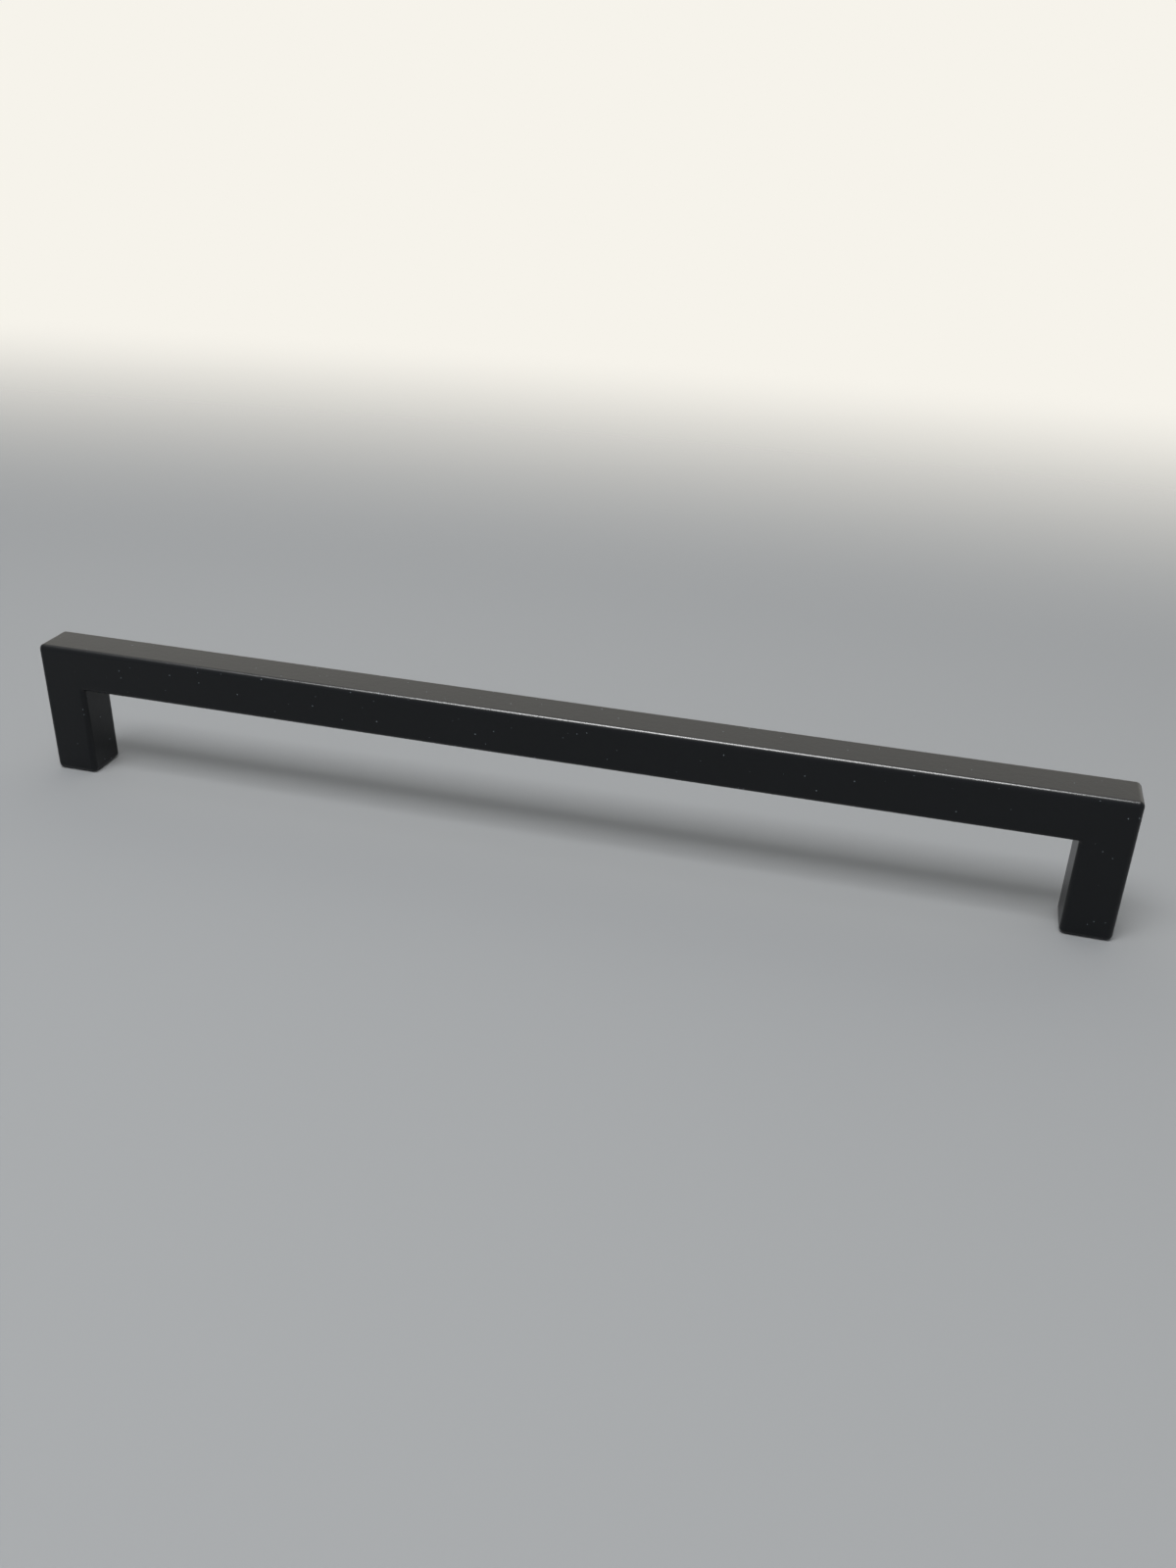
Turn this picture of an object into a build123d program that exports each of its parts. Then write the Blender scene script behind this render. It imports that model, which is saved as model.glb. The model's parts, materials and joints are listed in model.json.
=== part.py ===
"""Square bar cabinet pull, die cast in one piece of zinc alloy and coated matt black.

A square bar stands off the door on two square legs, flush with its ends. Every outside edge has the
same small round, and each foot has a blind hole, tapped for a screw that comes through the door.

Frame: millimetres. X runs along the bar and Y across it, +Z points away from the door, and the
origin lies midway between the two screw holes, on the plane of the feet.
"""

import os
from math import radians, tan

from build123d import *

# Driving dimensions, in millimetres and degrees
HOLE_SPACING = 224.0  # from screw to screw, one of the standard spacings
PROJECTION = 30.7  # from the door to the top of the bar
BAR_HEIGHT = 10.0  # thickness of the bar, along Z
BAR_DEPTH = 10.0  # thickness of the bar and the legs, along Y
LEG_WIDTH = 10.0  # thickness of a leg, along X
EDGE_RADIUS = 1.15  # round of every outside edge
INNER_RADIUS = 0.3  # fillet where a leg meets the underside of the bar
TAP_DRILL_DIAMETER = 3.3  # hole for an M4 thread of 0.7 pitch, before it is tapped
HOLE_DEPTH = 14.0  # from the foot to the end of the hole's straight wall
DRILL_POINT_ANGLE = 118.0  # cone that the drill leaves at the end of the hole
COUNTERSINK_DIAMETER = 4.4  # mouth of the hole, a little wider than the screw
COUNTERSINK_ANGLE = 90.0

# What follows from them
LENGTH = HOLE_SPACING + LEG_WIDTH
GAP_LENGTH = HOLE_SPACING - LEG_WIDTH
GAP_HEIGHT = PROJECTION - BAR_HEIGHT


def blank():
    """The pull with sharp edges: its side view, an arch, carried across the depth of the bar."""
    with BuildSketch(Plane.XZ) as side_view:
        Rectangle(LENGTH, PROJECTION, align=(Align.CENTER, Align.MIN))
        Rectangle(GAP_LENGTH, GAP_HEIGHT, align=(Align.CENTER, Align.MIN), mode=Mode.SUBTRACT)
    return extrude(side_view.sketch, amount=BAR_DEPTH / 2, both=True)


def round_edges(body):
    """Fillets the two inside corners, then rounds the rims of both sides and the edges that cross."""
    inside_corners = body.edges().filter_by(Axis.Y).filter_by_position(Axis.Z, GAP_HEIGHT, GAP_HEIGHT)
    body = fillet(inside_corners, INNER_RADIUS)
    rims = body.faces().filter_by(Plane.XZ).edges()
    crossing = body.edges().filter_by(Axis.Y).group_by(Axis.Z)
    foot_edges = crossing[0]
    top_edges = crossing[-1]
    return fillet(rims + foot_edges + top_edges, EDGE_RADIUS)


def screw_hole():
    """One hole as it is drilled, its mouth on the origin: countersink, straight wall, drill point."""
    wall_radius = TAP_DRILL_DIAMETER / 2
    mouth_radius = COUNTERSINK_DIAMETER / 2
    countersink_depth = (mouth_radius - wall_radius) / tan(radians(COUNTERSINK_ANGLE / 2))
    point_depth = wall_radius / tan(radians(DRILL_POINT_ANGLE / 2))
    with BuildPart() as hole:
        with BuildSketch(Plane.XZ):
            with BuildLine():
                Polyline(
                    (0, 0),
                    (mouth_radius, 0),
                    (wall_radius, countersink_depth),
                    (wall_radius, HOLE_DEPTH),
                    (0, HOLE_DEPTH + point_depth),
                    close=True,
                )
            make_face()
        revolve(axis=Axis.Z)
    return hole.part


def bar_pull():
    """The finished casting: the rounded arch with a screw hole in the middle of each foot."""
    body = round_edges(blank())
    for side in (-1, 1):
        body -= Pos(side * HOLE_SPACING / 2, 0, 0) * screw_hole()
    return body


os.makedirs("parts", exist_ok=True)
export_step(bar_pull(), "parts/bar_pull.step")
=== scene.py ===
"""A square bar cabinet pull in matt black, standing on its two feet on a pale floor.

Lengths are metres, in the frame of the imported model: X runs along the bar, Y across it, and Z up from
the plane of the feet. The camera looks from the front, a little to the right and above.
"""

import json
from math import cos, pi, radians, sin, tan

import bmesh
import bpy
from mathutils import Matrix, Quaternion, Vector


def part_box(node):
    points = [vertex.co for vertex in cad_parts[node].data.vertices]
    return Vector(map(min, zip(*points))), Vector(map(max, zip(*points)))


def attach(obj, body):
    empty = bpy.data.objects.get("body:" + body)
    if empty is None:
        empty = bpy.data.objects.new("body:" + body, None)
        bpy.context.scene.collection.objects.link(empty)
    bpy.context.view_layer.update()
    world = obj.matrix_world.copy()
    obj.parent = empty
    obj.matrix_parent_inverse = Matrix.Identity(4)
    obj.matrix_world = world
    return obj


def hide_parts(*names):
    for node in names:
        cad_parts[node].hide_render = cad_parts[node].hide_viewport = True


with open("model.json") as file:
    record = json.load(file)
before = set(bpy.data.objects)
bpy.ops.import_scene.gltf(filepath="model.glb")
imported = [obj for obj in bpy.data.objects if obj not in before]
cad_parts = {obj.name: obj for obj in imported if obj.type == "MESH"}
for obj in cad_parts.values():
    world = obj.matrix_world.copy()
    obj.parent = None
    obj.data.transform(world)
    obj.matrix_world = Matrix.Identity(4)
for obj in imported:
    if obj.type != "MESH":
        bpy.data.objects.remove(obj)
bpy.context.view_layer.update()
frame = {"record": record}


# The casting: a bar and two legs in one piece, die cast in zinc alloy, with its parting line polished
# away before it is coated. Its side view is an arch, and one small round runs along every outside edge,
# so the skin is a row of stations round the arch that all carry one section: round, flat, round.
MM = 0.001
BAR_HEIGHT = 10 * MM
LEG_WIDTH = 10 * MM
EDGE_RADIUS = 1.15 * MM
INNER_RADIUS = 0.3 * MM
EDGE_STEPS = 12  # faces round a quarter turn of an outside edge
INNER_STEPS = 6  # and of the fillet in an inside corner

high_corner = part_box("bar_pull")[1]
half_length = high_corner.x
half_depth = high_corner.y
top = high_corner.z
half_gap = half_length - LEG_WIDTH
gap_top = top - BAR_HEIGHT

# The arch's corners as (x, z), going round with the metal on the left, from the outside of the left foot
arch = [
    Vector((-half_length, 0)),
    Vector((-half_gap, 0)),
    Vector((-half_gap, gap_top)),
    Vector((half_gap, gap_top)),
    Vector((half_gap, 0)),
    Vector((half_length, 0)),
    Vector((half_length, top)),
    Vector((-half_length, top)),
]
FEET = [(0, 1), (4, 5)]  # the left and the right corner of each foot, by their places in the arch


def corner_stations(before, corner, after):
    """(point, outward normal) at each step round a corner: rounded outside, filleted inside."""
    way_in = (corner - before).normalized()
    way_out = (after - corner).normalized()
    normal_in = Vector((way_in.y, -way_in.x))
    normal_out = Vector((way_out.y, -way_out.x))
    outside = way_in.cross(way_out) > 0
    radius = -EDGE_RADIUS if outside else INNER_RADIUS
    steps = EDGE_STEPS if outside else INNER_STEPS
    centre = corner + radius * (normal_in + normal_out)
    stations = []
    for step in range(steps + 1):
        turn = step / steps * pi / 2
        normal = cos(turn) * normal_in + sin(turn) * normal_out
        stations.append((centre - radius * normal, normal))
    return stations


# The section across the depth, as (how far it stands out from the rim of the flat side, y)
front_round = []
for step in range(EDGE_STEPS + 1):
    turn = step / EDGE_STEPS * pi / 2
    front_round.append((EDGE_RADIUS * sin(turn), EDGE_RADIUS * (1 - cos(turn)) - half_depth))
section = front_round + [(reach, -y) for reach, y in reversed(front_round)]
FLAT = EDGE_STEPS  # the section's step that crosses the flat, from the front round to the back one

skin = bmesh.new()
corner_rows = []
for index, corner in enumerate(arch):
    rows = []
    for point, normal in corner_stations(arch[index - 1], corner, arch[(index + 1) % len(arch)]):
        row = []
        for reach, y in section:
            skin_point = point + (reach - EDGE_RADIUS) * normal
            row.append(skin.verts.new((skin_point.x, y, skin_point.y)))
        rows.append(row)
    corner_rows.append(rows)

# Strips from station to station, all the way round, but for the flat of each foot, which has a hole
all_rows = [row for rows in corner_rows for row in rows]
foot_rows = [corner_rows[left][-1] for left, right in FEET]
for row, next_row in zip(all_rows, all_rows[1:] + all_rows[:1]):
    for step in range(len(section) - 1):
        if step != FLAT or row not in foot_rows:
            skin.faces.new((row[step], next_row[step], next_row[step + 1], row[step + 1]))

# The two flat sides, each a leg, the bar, a leg, and a fan of triangles into each inside corner. At an
# outside corner the stations all meet there in one point, so the first of them stands for the rest.
for step in (0, len(section) - 1):
    rims = [[row[step] for row in rows] for rows in corner_rows]
    left_outer, left_inner, left_fillet, right_fillet = rims[:4]
    right_inner, right_outer, right_top, left_top = rims[4:]
    skin.faces.new((left_outer[0], left_inner[0], left_fillet[0], left_top[0]))
    skin.faces.new((left_top[0], left_fillet[-1], right_fillet[0], right_top[0]))
    skin.faces.new((right_top[0], right_fillet[-1], right_inner[0], right_outer[0]))
    for fillet, top_corner in ((left_fillet, left_top[0]), (right_fillet, right_top[0])):
        for vertex, next_vertex in zip(fillet, fillet[1:]):
            skin.faces.new((top_corner, vertex, next_vertex))


# The powder coat, sprayed as dry powder and baked: deep black seen square on, grey where light grazes
# it, with a soft narrow shine along the rounds. It has a faint orange peel and a fine grain, and a
# little dust has settled on it.
COAT_BLACK = "06090C"
COAT_BLACK_PALER = "090C10"
DUST_GREY = "7C868C"
COAT_IOR = 1.39
COAT_ROUGHNESS = (0.28, 0.34)
CLOUD_SIZE = 9 * MM  # patches where the coat is a shade paler and more matt
CLOUD_DETAIL = 3.0  # finer layers of noise within each patch
PEEL_SIZE = 1.4 * MM
PEEL_DETAIL = 1.0
PEEL_HEIGHT = 0.015 * MM
GRAIN_SIZE = 0.4 * MM  # drawn coarser than the powder's own grain, so that it shows
GRAIN_DETAIL = 2.0
GRAIN_HEIGHT = 0.012 * MM
DUST_SPACING = 1.05 * MM
DUST_RADIUS = 0.13 * MM  # of the largest specks
DUST_SHARE = 0.3  # of the places where a speck could lie


def linear(hex_colour):
    """An sRGB colour, written as RRGGBB, in linear light with an alpha of 1."""
    channels = [int(hex_colour[i:i + 2], 16) / 255 for i in (0, 2, 4)]
    light = [c / 12.92 if c <= 0.04045 else ((c + 0.055) / 1.055) ** 2.4 for c in channels]
    return (*light, 1.0)


def new_material(name):
    """A material with an empty node tree."""
    material = bpy.data.materials.new(name)
    material.use_nodes = True
    material.node_tree.nodes.clear()
    return material


def add_node(tree, kind, inputs, **settings):
    """Adds a node with its settings, and gives each input a value or a link from another's output."""
    node = tree.nodes.new(kind)
    for name, value in settings.items():
        setattr(node, name, value)
    for socket, value in inputs.items():
        if isinstance(value, bpy.types.NodeSocket):
            tree.links.new(value, node.inputs[socket])
        else:
            node.inputs[socket].default_value = value
    return node


powder_coat = new_material("Matt black powder coat")
tree = powder_coat.node_tree
place = add_node(tree, "ShaderNodeTexCoord", {}).outputs["Object"]
clouds = add_node(
    tree, "ShaderNodeTexNoise", {"Vector": place, "Scale": 1 / CLOUD_SIZE, "Detail": CLOUD_DETAIL}
)
peel = add_node(
    tree, "ShaderNodeTexNoise", {"Vector": place, "Scale": 1 / PEEL_SIZE, "Detail": PEEL_DETAIL}
)
grain = add_node(
    tree, "ShaderNodeTexNoise", {"Vector": place, "Scale": 1 / GRAIN_SIZE, "Detail": GRAIN_DETAIL}
)

# Each cell of a jumbled grid draws lots for whether a speck of dust lies in it, and for how large it is.
# The grid measures distances in cells.
dust_cells = add_node(tree, "ShaderNodeTexVoronoi", {"Vector": place, "Scale": 1 / DUST_SPACING})
lots = add_node(tree, "ShaderNodeTexWhiteNoise", {"Vector": dust_cells.outputs["Color"]})
drawn = add_node(tree, "ShaderNodeSeparateColor", {"Color": lots.outputs["Color"]})
has_speck = add_node(
    tree, "ShaderNodeMath", {0: drawn.outputs["Red"], 1: DUST_SHARE}, operation="LESS_THAN"
)
speck_radius = add_node(
    tree,
    "ShaderNodeMath",
    {0: drawn.outputs["Green"], 1: DUST_RADIUS / DUST_SPACING},
    operation="MULTIPLY",
)
in_radius = add_node(
    tree,
    "ShaderNodeMath",
    {0: dust_cells.outputs["Distance"], 1: speck_radius.outputs[0]},
    operation="LESS_THAN",
)
speck = add_node(
    tree, "ShaderNodeMath", {0: has_speck.outputs[0], 1: in_radius.outputs[0]}, operation="MULTIPLY"
)

# A mix of colours takes its factor at input 0 and the two colours at inputs 6 and 7, and gives output 2
black = add_node(
    tree,
    "ShaderNodeMix",
    {0: clouds.outputs["Fac"], 6: linear(COAT_BLACK), 7: linear(COAT_BLACK_PALER)},
    data_type="RGBA",
)
dusty_black = add_node(
    tree,
    "ShaderNodeMix",
    {0: speck.outputs[0], 6: black.outputs[2], 7: linear(DUST_GREY)},
    data_type="RGBA",
)
roughness = add_node(
    tree,
    "ShaderNodeMapRange",
    {"Value": clouds.outputs["Fac"], "To Min": COAT_ROUGHNESS[0], "To Max": COAT_ROUGHNESS[1]},
)
peel_bump = add_node(tree, "ShaderNodeBump", {"Distance": PEEL_HEIGHT, "Height": peel.outputs["Fac"]})
grain_bump = add_node(
    tree,
    "ShaderNodeBump",
    {
        "Distance": GRAIN_HEIGHT,
        "Height": grain.outputs["Fac"],
        "Normal": peel_bump.outputs["Normal"],
    },
)
shader = add_node(
    tree,
    "ShaderNodeBsdfPrincipled",
    {
        "Base Color": dusty_black.outputs[2],
        "Roughness": roughness.outputs["Result"],
        "IOR": COAT_IOR,
        "Normal": grain_bump.outputs["Normal"],
    },
)
add_node(tree, "ShaderNodeOutputMaterial", {"Surface": shader.outputs["BSDF"]})


# The screw holes: one blind hole in each foot, drilled, countersunk and tapped M4 after coating, so the
# thread is bare zinc. The wall is a sheet of rows that climb one pitch a turn, grooved across the rows
# and cut off by the foot below and the end of the drilling above.
screw_holes = next(m for m in frame["record"]["mounts"] if m["name"] == "screw_holes")
HOLE_SIDES = 48  # a multiple of four, because the four corners of the foot share them evenly
ROWS_PER_PITCH = 8
THREAD_PITCH = 0.7 * MM
THREAD_HEIGHT = 0.35 * MM
THREAD_LENGTH = 12.2 * MM
ROOT_EDGE = 0.125  # where a flank of the thread begins, in pitches from the middle of the groove
CREST_EDGE = 0.375  # and where it ends
TAP_LEAD = 1.6 * MM  # where the tap's first teeth cut the thread shallow
HOLE_DEPTH = 14 * MM
COUNTERSINK_RADIUS = 2.2 * MM
DRILL_POINT_ANGLE = radians(118)
WELD_DISTANCE = 0.001 * MM  # points that lie closer than this become one
hole_radius = screw_holes["dims"]["hole_r_mm"] * MM
hole_spacing = screw_holes["dims"]["spacing_x_mm"] * MM
drill_point = hole_radius / tan(DRILL_POINT_ANGLE / 2)
hole_rows = round((HOLE_DEPTH + THREAD_PITCH) / THREAD_PITCH) * ROWS_PER_PITCH

# Zinc newly cut by the drill and the tap: a cool grey metal, its shine broken up by fine tool marks
CUT_ZINC = "B3B7BA"
ZINC_ROUGHNESS = (0.24, 0.42)
TOOL_MARK_SIZE = 0.12 * MM
TOOL_MARK_DETAIL = 2.0

bare_zinc = new_material("Bare zinc cut by a tap")
tree = bare_zinc.node_tree
place = add_node(tree, "ShaderNodeTexCoord", {}).outputs["Object"]
tool_marks = add_node(
    tree,
    "ShaderNodeTexNoise",
    {"Vector": place, "Scale": 1 / TOOL_MARK_SIZE, "Detail": TOOL_MARK_DETAIL},
)
roughness = add_node(
    tree,
    "ShaderNodeMapRange",
    {"Value": tool_marks.outputs["Fac"], "To Min": ZINC_ROUGHNESS[0], "To Max": ZINC_ROUGHNESS[1]},
)
shader = add_node(
    tree,
    "ShaderNodeBsdfPrincipled",
    {"Base Color": linear(CUT_ZINC), "Metallic": 1.0, "Roughness": roughness.outputs["Result"]},
)
add_node(tree, "ShaderNodeOutputMaterial", {"Surface": shader.outputs["BSDF"]})

hole_tree = bpy.data.node_groups.new("Tapped screw holes", "GeometryNodeTree")
hole_values = {
    "Sides": ("NodeSocketInt", HOLE_SIDES),
    "Rows": ("NodeSocketInt", hole_rows),
    "Pitch": ("NodeSocketFloat", THREAD_PITCH),
    "Thread Height": ("NodeSocketFloat", THREAD_HEIGHT),
    "Thread Length": ("NodeSocketFloat", THREAD_LENGTH),
    "Lead": ("NodeSocketFloat", TAP_LEAD),
    "Hole Radius": ("NodeSocketFloat", hole_radius),
    "Hole Depth": ("NodeSocketFloat", HOLE_DEPTH),
    "Mouth Radius": ("NodeSocketFloat", COUNTERSINK_RADIUS),
    "Drill Point": ("NodeSocketFloat", drill_point),
    "Spacing": ("NodeSocketFloat", hole_spacing),
    "Material": ("NodeSocketMaterial", bare_zinc),
}
hole_sockets = {}
for name, (kind, value) in hole_values.items():
    hole_sockets[name] = hole_tree.interface.new_socket(name, in_out="INPUT", socket_type=kind)
hole_tree.interface.new_socket("Holes", in_out="OUTPUT", socket_type="NodeSocketGeometry")
given = add_node(hole_tree, "NodeGroupInput", {}).outputs

# A flat sheet, one unit square about its middle: across it lies one turn of the thread, along it the rows
columns = add_node(hole_tree, "ShaderNodeMath", {0: given["Sides"], 1: 1.0}, operation="ADD")
lines = add_node(hole_tree, "ShaderNodeMath", {0: given["Rows"], 1: 1.0}, operation="ADD")
flat_sheet = add_node(
    hole_tree,
    "GeometryNodeMeshGrid",
    {"Vertices X": columns.outputs[0], "Vertices Y": lines.outputs[0]},
)
position = add_node(hole_tree, "GeometryNodeInputPosition", {})
flat = add_node(hole_tree, "ShaderNodeSeparateXYZ", {0: position.outputs[0]})

# Height of a point above the foot: its row's own height, less what the row has yet to climb
travel = add_node(
    hole_tree, "ShaderNodeMath", {0: given["Hole Depth"], 1: given["Pitch"]}, operation="ADD"
)
row_height = add_node(
    hole_tree,
    "ShaderNodeMapRange",
    {"Value": flat.outputs["Y"], "From Min": -0.5, "From Max": 0.5, "To Max": travel.outputs[0]},
)
to_climb = add_node(hole_tree, "ShaderNodeMath", {0: flat.outputs["X"], 1: 0.5}, operation="SUBTRACT")
climbed = add_node(
    hole_tree,
    "ShaderNodeMath",
    {0: to_climb.outputs[0], 1: given["Pitch"], 2: row_height.outputs["Result"]},
    operation="MULTIPLY_ADD",
)
height = add_node(
    hole_tree,
    "ShaderNodeClamp",
    {"Value": climbed.outputs[0], "Min": 0.0, "Max": given["Hole Depth"]},
)

# Radius of a point: the drilled wall, cut back by the groove of the thread, which the lead makes
# shallow, and by the countersink, which slopes at 45 degrees
pitches = add_node(
    hole_tree,
    "ShaderNodeMath",
    {0: row_height.outputs["Result"], 1: given["Pitch"]},
    operation="DIVIDE",
)
from_groove = add_node(hole_tree, "ShaderNodeMath", {0: pitches.outputs[0], 1: 0.5}, operation="PINGPONG")
groove = add_node(
    hole_tree,
    "ShaderNodeMapRange",
    {
        "Value": from_groove.outputs[0],
        "From Min": ROOT_EDGE,
        "From Max": CREST_EDGE,
        "To Min": 1.0,
        "To Max": 0.0,
    },
)
lead_start = add_node(
    hole_tree, "ShaderNodeMath", {0: given["Thread Length"], 1: given["Lead"]}, operation="SUBTRACT"
)
cut_depth = add_node(
    hole_tree,
    "ShaderNodeMapRange",
    {
        "Value": height.outputs[0],
        "From Min": lead_start.outputs[0],
        "From Max": given["Thread Length"],
        "To Min": given["Thread Height"],
        "To Max": 0.0,
    },
)
thread_radius = add_node(
    hole_tree,
    "ShaderNodeMath",
    {0: groove.outputs["Result"], 1: cut_depth.outputs["Result"], 2: given["Hole Radius"]},
    operation="MULTIPLY_ADD",
)
countersink = add_node(
    hole_tree, "ShaderNodeMath", {0: given["Mouth Radius"], 1: height.outputs[0]}, operation="SUBTRACT"
)
wall_radius = add_node(
    hole_tree,
    "ShaderNodeMath",
    {0: thread_radius.outputs[0], 1: countersink.outputs[0]},
    operation="MAXIMUM",
)

# The sheet rolled up, closed by the drill's point, and set in both feet
angle = add_node(hole_tree, "ShaderNodeMath", {0: flat.outputs["X"], 1: 2 * pi}, operation="MULTIPLY")
cosine = add_node(hole_tree, "ShaderNodeMath", {0: angle.outputs[0]}, operation="COSINE")
sine = add_node(hole_tree, "ShaderNodeMath", {0: angle.outputs[0]}, operation="SINE")
outwards = add_node(hole_tree, "ShaderNodeCombineXYZ", {"X": cosine.outputs[0], "Y": sine.outputs[0]})
wall_place = add_node(
    hole_tree,
    "ShaderNodeVectorMath",
    {0: outwards.outputs[0], "Scale": wall_radius.outputs[0]},
    operation="SCALE",
)
lift = add_node(hole_tree, "ShaderNodeCombineXYZ", {"Z": height.outputs[0]})
rolled = add_node(
    hole_tree, "ShaderNodeVectorMath", {0: wall_place.outputs[0], 1: lift.outputs[0]}, operation="ADD"
)
threaded_wall = add_node(
    hole_tree,
    "GeometryNodeSetPosition",
    {"Geometry": flat_sheet.outputs["Mesh"], "Position": rolled.outputs[0]},
)
cone = add_node(
    hole_tree,
    "GeometryNodeMeshCone",
    {
        "Vertices": given["Sides"],
        "Radius Top": 0.0,
        "Radius Bottom": given["Hole Radius"],
        "Depth": given["Drill Point"],
    },
    fill_type="NONE",
)
hole_end = add_node(hole_tree, "ShaderNodeCombineXYZ", {"Z": given["Hole Depth"]})
drilled_end = add_node(
    hole_tree,
    "GeometryNodeTransform",
    {"Geometry": cone.outputs["Mesh"], "Translation": hole_end.outputs[0]},
)
wall_and_end = add_node(
    hole_tree, "GeometryNodeJoinGeometry", {"Geometry": threaded_wall.outputs["Geometry"]}
)
hole_tree.links.new(drilled_end.outputs["Geometry"], wall_and_end.inputs["Geometry"])
hole = add_node(
    hole_tree,
    "GeometryNodeMergeByDistance",
    {"Geometry": wall_and_end.outputs["Geometry"], "Distance": WELD_DISTANCE},
)
left_x = add_node(hole_tree, "ShaderNodeMath", {0: given["Spacing"], 1: -0.5}, operation="MULTIPLY")
left_foot = add_node(hole_tree, "ShaderNodeCombineXYZ", {"X": left_x.outputs[0]})
next_foot = add_node(hole_tree, "ShaderNodeCombineXYZ", {"X": given["Spacing"]})
feet = add_node(
    hole_tree,
    "GeometryNodeMeshLine",
    {"Count": len(FEET), "Start Location": left_foot.outputs[0], "Offset": next_foot.outputs[0]},
)
placed_holes = add_node(
    hole_tree,
    "GeometryNodeInstanceOnPoints",
    {"Points": feet.outputs["Mesh"], "Instance": hole.outputs["Geometry"]},
)
real_holes = add_node(
    hole_tree, "GeometryNodeRealizeInstances", {"Geometry": placed_holes.outputs["Instances"]}
)
bare_holes = add_node(
    hole_tree,
    "GeometryNodeSetMaterial",
    {"Geometry": real_holes.outputs["Geometry"], "Material": given["Material"]},
)
add_node(hole_tree, "NodeGroupOutput", {"Holes": bare_holes.outputs["Geometry"]})

hole_maker = bpy.data.objects.new("hole_maker", bpy.data.meshes.new("hole_maker"))
bpy.context.scene.collection.objects.link(hole_maker)
modifier = hole_maker.modifiers.new("Tapped screw holes", "NODES")
modifier.node_group = hole_tree
for name, (kind, value) in hole_values.items():
    modifier[hole_sockets[name].identifier] = value
made_holes = hole_maker.evaluated_get(bpy.context.evaluated_depsgraph_get())
hole_mesh = bpy.data.meshes.new_from_object(made_holes)
bpy.data.objects.remove(hole_maker)

# The flat of each foot, from its four corners to the mouth of the hole
sides_per_corner = HOLE_SIDES // 4
for left, right in FEET:
    left_row = corner_rows[left][-1]
    right_row = corner_rows[right][0]
    foot_corners = [right_row[FLAT + 1], left_row[FLAT + 1], left_row[FLAT], right_row[FLAT]]
    foot_centre = (left_row[FLAT].co + right_row[FLAT + 1].co) / 2
    mouth = []
    for side in range(HOLE_SIDES):
        turn = side / HOLE_SIDES * 2 * pi
        mouth.append(skin.verts.new(foot_centre + COUNTERSINK_RADIUS * Vector((cos(turn), sin(turn), 0))))
    for side in range(HOLE_SIDES):
        quarter = side // sides_per_corner
        skin.faces.new((foot_corners[quarter], mouth[side], mouth[(side + 1) % HOLE_SIDES]))
        if side % sides_per_corner == 0:
            skin.faces.new((foot_corners[quarter - 1], foot_corners[quarter], mouth[side]))


# The finished pull: the coated skin and the bare holes are one piece of metal, so they are welded into
# one closed mesh. It is smooth over the rounds, and crisp at the thread and at the mouth of each hole.
SHARP_ANGLE = radians(35)  # an edge where two faces turn by more than this stays crisp
coated_faces = len(skin.faces)
skin.from_mesh(hole_mesh)
skin.faces.ensure_lookup_table()
for face in skin.faces[coated_faces:]:
    face.material_index = 1  # bare zinc, the second of the two materials
for face in skin.faces:
    face.smooth = True
bmesh.ops.remove_doubles(skin, verts=skin.verts, dist=WELD_DISTANCE)
bmesh.ops.recalc_face_normals(skin, faces=skin.faces)
casting_mesh = bpy.data.meshes.new("coated_bar_pull")
skin.to_mesh(casting_mesh)
skin.free()
casting_mesh.set_sharp_from_angle(angle=SHARP_ANGLE)
casting_mesh.materials.append(powder_coat)
casting_mesh.materials.append(bare_zinc)

coated_bar_pull = bpy.data.objects.new("coated_bar_pull", casting_mesh)
bpy.context.scene.collection.objects.link(coated_bar_pull)
flat_faces = coated_bar_pull.modifiers.new("Flat faces stay flat", "WEIGHTED_NORMAL")
flat_faces.keep_sharp = True
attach(coated_bar_pull, "root")
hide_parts("bar_pull")


# The floor: a sheet of pale grey matt paper under the pull, which keeps its shadow. Well away from the
# pull it fades out, in an oval three times as long as broad, so that no edge of it shows from any side.
FLOOR_HALF_WIDTH = 1.8
FADE_SHAPE = (1 / 3, 1.0, 1.0)  # lengths along X count for a third
FADE_START = 0.15
FADE_END = 0.55

paper_sheet = bmesh.new()
bmesh.ops.create_grid(paper_sheet, x_segments=1, y_segments=1, size=FLOOR_HALF_WIDTH)
floor_mesh = bpy.data.meshes.new("paper_floor")
paper_sheet.to_mesh(floor_mesh)
paper_sheet.free()

# Uncoated paper: one even grey with hardly any shine, so that nothing shows on it but the shadow
PAPER = "A2A4A6"
PAPER_ROUGHNESS = 0.9
PAPER_SHINE = 0.1

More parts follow.
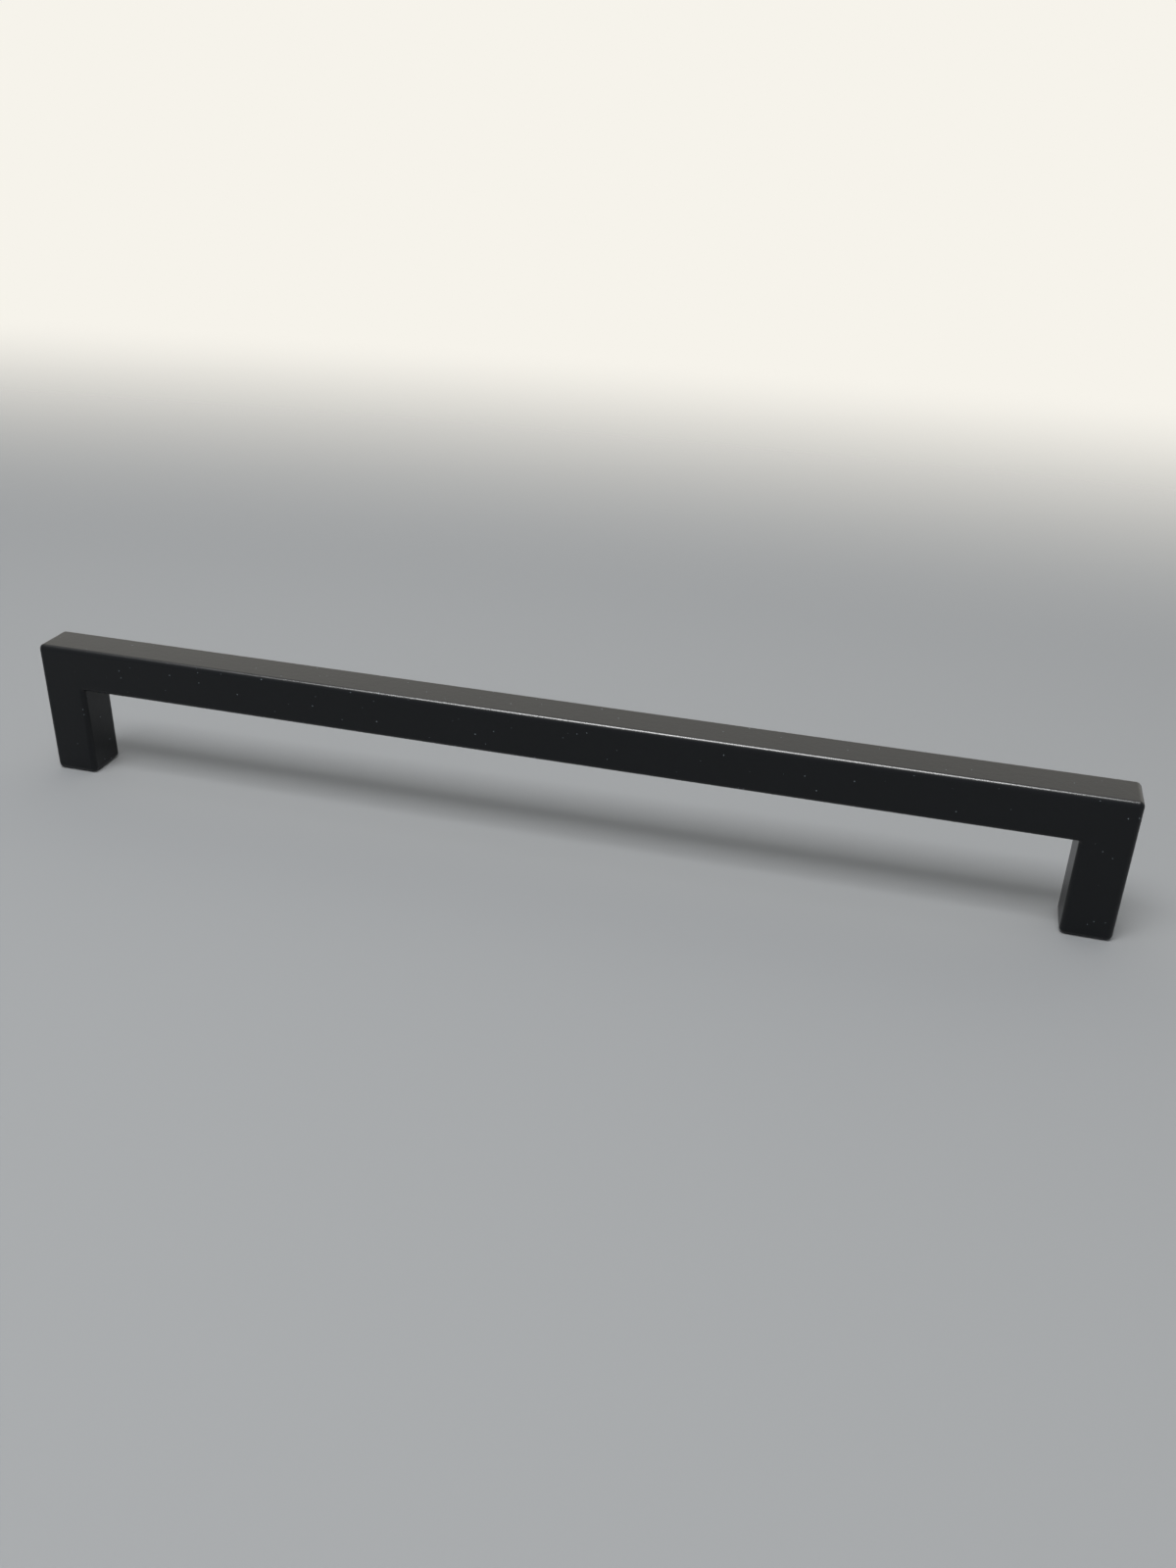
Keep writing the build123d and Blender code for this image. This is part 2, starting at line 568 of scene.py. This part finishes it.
paper = new_material("Pale matt paper")
tree = paper.node_tree
place = add_node(tree, "ShaderNodeTexCoord", {}).outputs["Object"]
oval = add_node(tree, "ShaderNodeVectorMath", {0: place, 1: FADE_SHAPE}, operation="MULTIPLY")
distance = add_node(tree, "ShaderNodeVectorMath", {0: oval.outputs[0]}, operation="LENGTH")
paper_fade = add_node(
    tree,
    "ShaderNodeMapRange",
    {"Value": distance.outputs["Value"], "From Min": FADE_START, "From Max": FADE_END},
    interpolation_type="SMOOTHSTEP",
)
matt = add_node(
    tree,
    "ShaderNodeBsdfPrincipled",
    {"Base Color": linear(PAPER), "Roughness": PAPER_ROUGHNESS, "Specular IOR Level": PAPER_SHINE},
)
gone = add_node(tree, "ShaderNodeBsdfTransparent", {})
shader = add_node(
    tree,
    "ShaderNodeMixShader",
    {0: paper_fade.outputs["Result"], 1: matt.outputs["BSDF"], 2: gone.outputs["BSDF"]},
)
add_node(tree, "ShaderNodeOutputMaterial", {"Surface": shader.outputs["Shader"]})
floor_mesh.materials.append(paper)
paper_floor = bpy.data.objects.new("paper_floor", floor_mesh)
bpy.context.scene.collection.objects.link(paper_floor)


# The light: an even grey room with a warm white wall behind the pull, which the top of the bar mirrors,
# a large soft lamp, high in front, that lights every matt surface, and a slim one overhead whose shine
# runs along the front edge of the bar.
ROOM = "A6A8AA"
WALL = "F6F3EB"
WALL_START = 0.35  # how far a direction has to lean towards +Y to meet the wall's soft edge
WALL_FULL = 0.75  # and to meet the wall in full
LAMPS = {
    # name: (place, length along X, breadth, watts, whether it lights matt surfaces, whether it shines)
    "soft_lamp": (Vector((-0.10, -0.38, 0.95)), 0.60, 0.40, 6.7, True, False),
    "slim_lamp": (Vector((-0.10, 0.09, 0.98)), 0.62, 0.10, 23.0, False, True),
}
for name, (lamp_place, length, breadth, watts, lights_matt, shines) in LAMPS.items():
    lamp_data = bpy.data.lights.new(name, "AREA")
    lamp_data.shape = "RECTANGLE"
    lamp_data.size = length
    lamp_data.size_y = breadth
    lamp_data.energy = watts
    lamp = bpy.data.objects.new(name, lamp_data)
    lamp.location = lamp_place
    lamp.rotation_mode = "QUATERNION"
    lamp_aim = Vector((lamp_place.x, 0, 0)) - lamp_place
    lamp.rotation_quaternion = lamp_aim.to_track_quat("-Z", "Y")
    lamp.visible_diffuse = lights_matt
    lamp.visible_glossy = shines
    bpy.context.scene.collection.objects.link(lamp)

world = bpy.data.worlds.new("Grey room with a white wall")
world.use_nodes = True
tree = world.node_tree
tree.nodes.clear()
direction = add_node(tree, "ShaderNodeTexCoord", {}).outputs["Generated"]
lean = add_node(tree, "ShaderNodeSeparateXYZ", {0: direction}).outputs["Y"]
wall_share = add_node(
    tree,
    "ShaderNodeMapRange",
    {"Value": lean, "From Min": WALL_START, "From Max": WALL_FULL},
    interpolation_type="SMOOTHSTEP",
)
room = add_node(
    tree,
    "ShaderNodeMix",
    {0: wall_share.outputs["Result"], 6: linear(ROOM), 7: linear(WALL)},
    data_type="RGBA",
)
shown_room = add_node(tree, "ShaderNodeBackground", {"Color": room.outputs[2]})
add_node(tree, "ShaderNodeOutputWorld", {"Surface": shown_room.outputs["Background"]})
bpy.context.scene.world = world
bpy.context.scene.view_settings.view_transform = "Standard"


# The camera: its place, aim, slight roll and focal length are the ones that fit the outline of the pull
# in the photograph.
PHOTO_HEIGHT = 1600  # pixels
FOCAL_LENGTH = 1371.5  # pixels
SENSOR = 36  # millimetres, along the photograph's long side
CAMERA_PLACE = Vector((73.1, -241.8, 146.7)) * MM
CAMERA_AIM = Vector((2.6, 26.3, 0.0)) * MM
CAMERA_ROLL = radians(1.76)
NEAR_CLIP = 10 * MM

camera_data = bpy.data.cameras.new("camera")
camera_data.sensor_width = SENSOR
camera_data.lens = FOCAL_LENGTH / PHOTO_HEIGHT * SENSOR
camera_data.clip_start = NEAR_CLIP
camera = bpy.data.objects.new("camera", camera_data)
camera.location = CAMERA_PLACE
camera.rotation_mode = "QUATERNION"
level = (CAMERA_AIM - CAMERA_PLACE).to_track_quat("-Z", "Y")
camera.rotation_quaternion = level @ Quaternion((0, 0, 1), CAMERA_ROLL)
bpy.context.scene.collection.objects.link(camera)
bpy.context.scene.camera = camera
